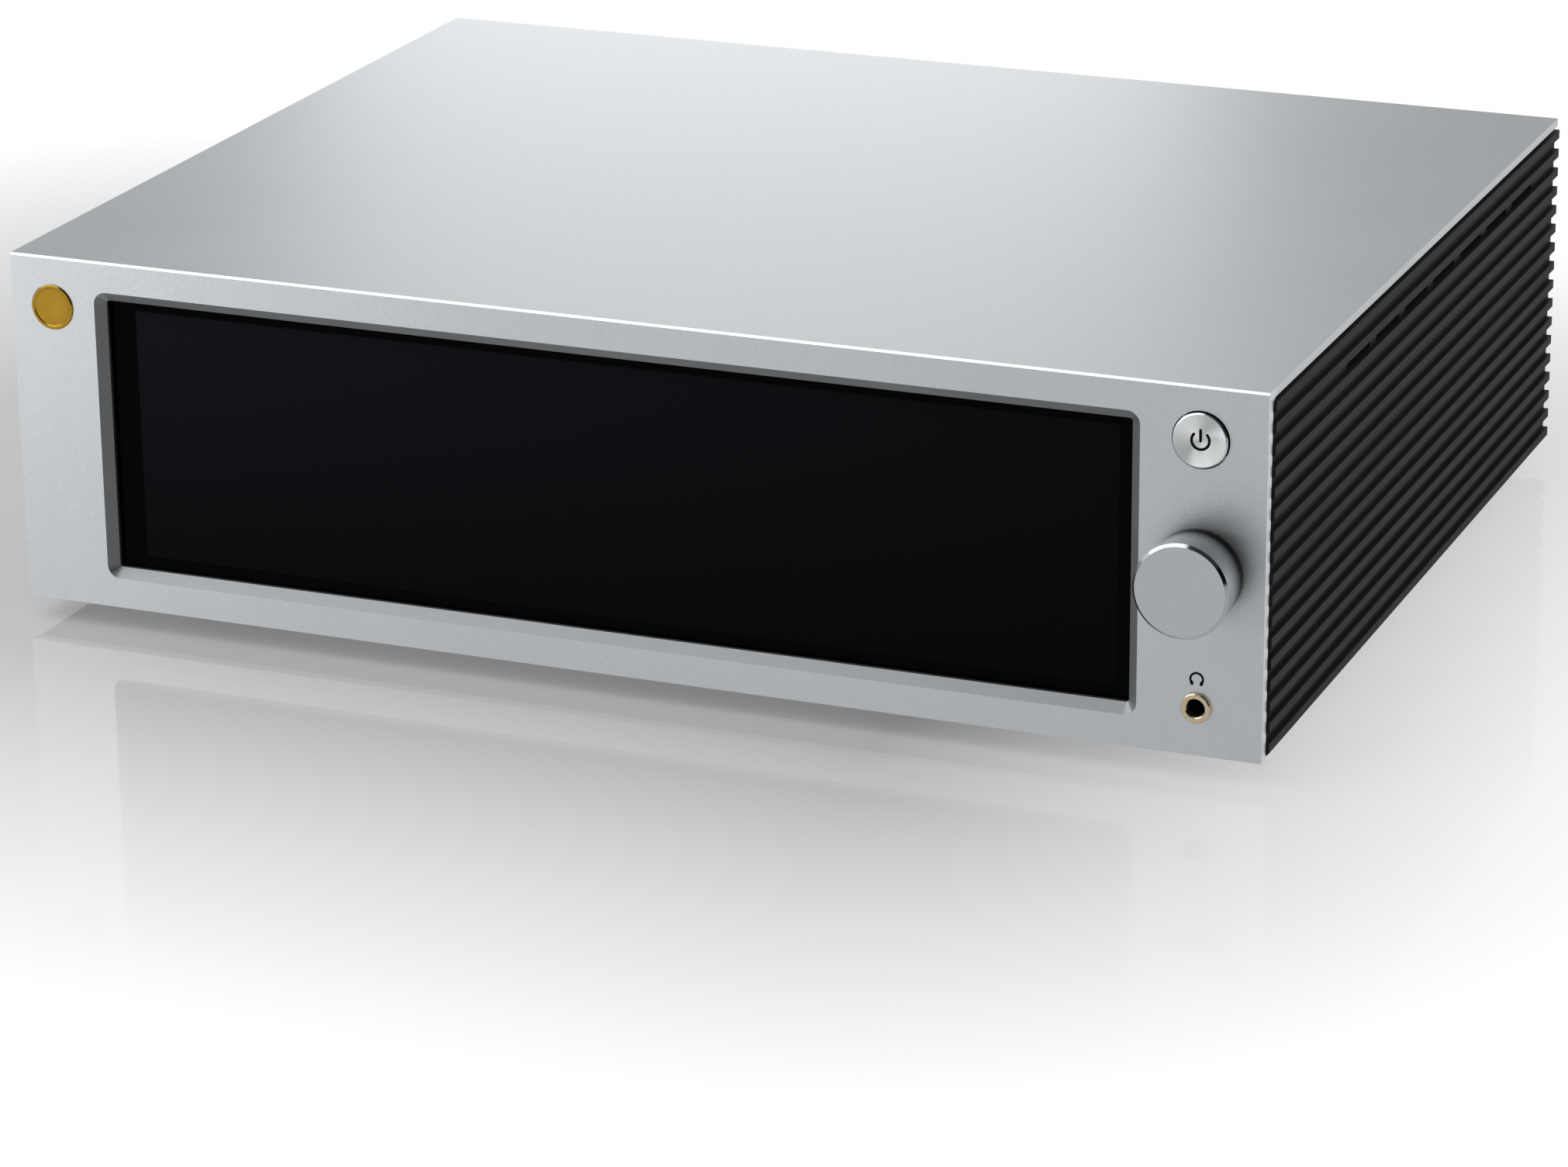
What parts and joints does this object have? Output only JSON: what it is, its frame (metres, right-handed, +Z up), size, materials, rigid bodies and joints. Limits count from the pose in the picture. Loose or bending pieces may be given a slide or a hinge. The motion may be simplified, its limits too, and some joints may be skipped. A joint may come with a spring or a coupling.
{
  "type": "network music streamer",
  "caption": "Half-width silver network audio player with a bevelled letterbox display, power button, volume knob, headphone socket and ribbed dark side panels.",
  "frame": {"origin": "middle of the whole object's box, at the surface that the foot pads stand on", "axes": "+X to the right seen from the front, +Y from the front to the rear, +Z up"},
  "size_m": [0.279, 0.2406, 0.082],
  "materials": {
    "silver_anodised": "fine bead-blasted silver anodising",
    "charcoal_anodised": "satin charcoal anodising on ribbed extrusion",
    "black_steel": "fine black powder coat",
    "badge_gold": "polished gold plate",
    "champagne": "satin champagne anodising",
    "contact_gold": "bright gold plate",
    "display_glass": "black-printed cover glass, glossy",
    "lcd": "dark display panel",
    "foam": "black closed-cell foam",
    "zinc_steel": "zinc-plated sheet",
    "screw_steel": "plated steel screws",
    "black_screw": "black-oxide screws",
    "brushed_cap": "spun satin aluminium",
    "black_plastic": "matt black moulded plastic",
    "white_plastic": "white moulded insert",
    "board_green": "solder-masked glass-fibre board",
    "socket_metal": "nickel-plated socket shells",
    "foot_metal": "turned dark aluminium",
    "pad_rubber": "soft black rubber",
    "brass_post": "plain brass posts",
    "chip_black": "black epoxy package",
    "can_sleeve": "dark printed sleeve",
    "relay_case": "amber relay case",
    "core_steel": "varnished laminations",
    "ribbon_film": "white ribbon cable",
    "wire_insulation": "brown insulated leads"
  },
  "bodies": {
    "chassis": {"casing_shell": "silver_anodised", "side_heatsink_left": "charcoal_anodised", "side_heatsink_right": "charcoal_anodised", "base_plate": "black_steel", "rear_panel": "black_steel", "badge": "badge_gold", "display_gasket": "foam", "display_glass": "display_glass", "display_panel": "lcd", "display_bracket": "zinc_steel", "display_bracket_screws": "screw_steel", "display_driver_board": "board_green", "power_button_guide": "black_plastic", "power_switch": "black_plastic", "encoder_body": "zinc_steel", "encoder_nut": "screw_steel", "control_board": "board_green", "control_board_standoffs": "brass_post", "control_board_screws": "screw_steel", "headphone_jack": "black_plastic", "headphone_ring": "champagne", "main_board": "board_green", "dac_board": "board_green", "power_supply_board": "board_green", "board_standoffs": "brass_post", "board_screws": "screw_steel", "processor": "chip_black", "processor_heatsink": "charcoal_anodised", "wireless_module": "socket_metal", "audio_capacitors": "can_sleeve", "output_relays": "relay_case", "supply_transformer": "core_steel", "supply_capacitors": "can_sleeve", "supply_heatsink": "charcoal_anodised", "mains_inlet": "black_plastic", "inlet_screws": "screw_steel", "phono_housing": "black_plastic", "phono_sleeves": "contact_gold", "phono_inserts": "white_plastic", "optical_sockets": "black_plastic", "ethernet_socket": "socket_metal", "usb_sockets": "socket_metal", "hdmi_socket": "socket_metal", "usb_c_socket": "socket_metal", "antenna_sockets": "contact_gold", "antenna_nuts": "contact_gold", "rear_screws": "black_screw", "base_screws": "black_screw", "cover_screws": "screw_steel", "feet": "foot_metal", "foot_pads": "pad_rubber", "foot_screws": "screw_steel", "display_cable": "ribbon_film", "control_cable": "ribbon_film", "mains_leads": "wire_insulation"},
    "power_key": {"power_button": "brushed_cap", "switch_plunger": "white_plastic"},
    "volume_control": {"volume_knob": "silver_anodised", "encoder_shaft": "zinc_steel"}
  },
  "joints": [
    {"name": "power_press", "type": "slide", "parent": "chassis", "child": "power_key", "axis": [0, 1, 0], "range_m": [0, 0.0006], "stiffness_N_per_m": 1500, "springref_m": -0.0004},
    {"name": "volume_turn", "type": "hinge", "parent": "chassis", "child": "volume_control", "pos_m": [0.1253, -0.10825, 0.0435], "axis": [0, 1, 0], "continuous": true}
  ]
}
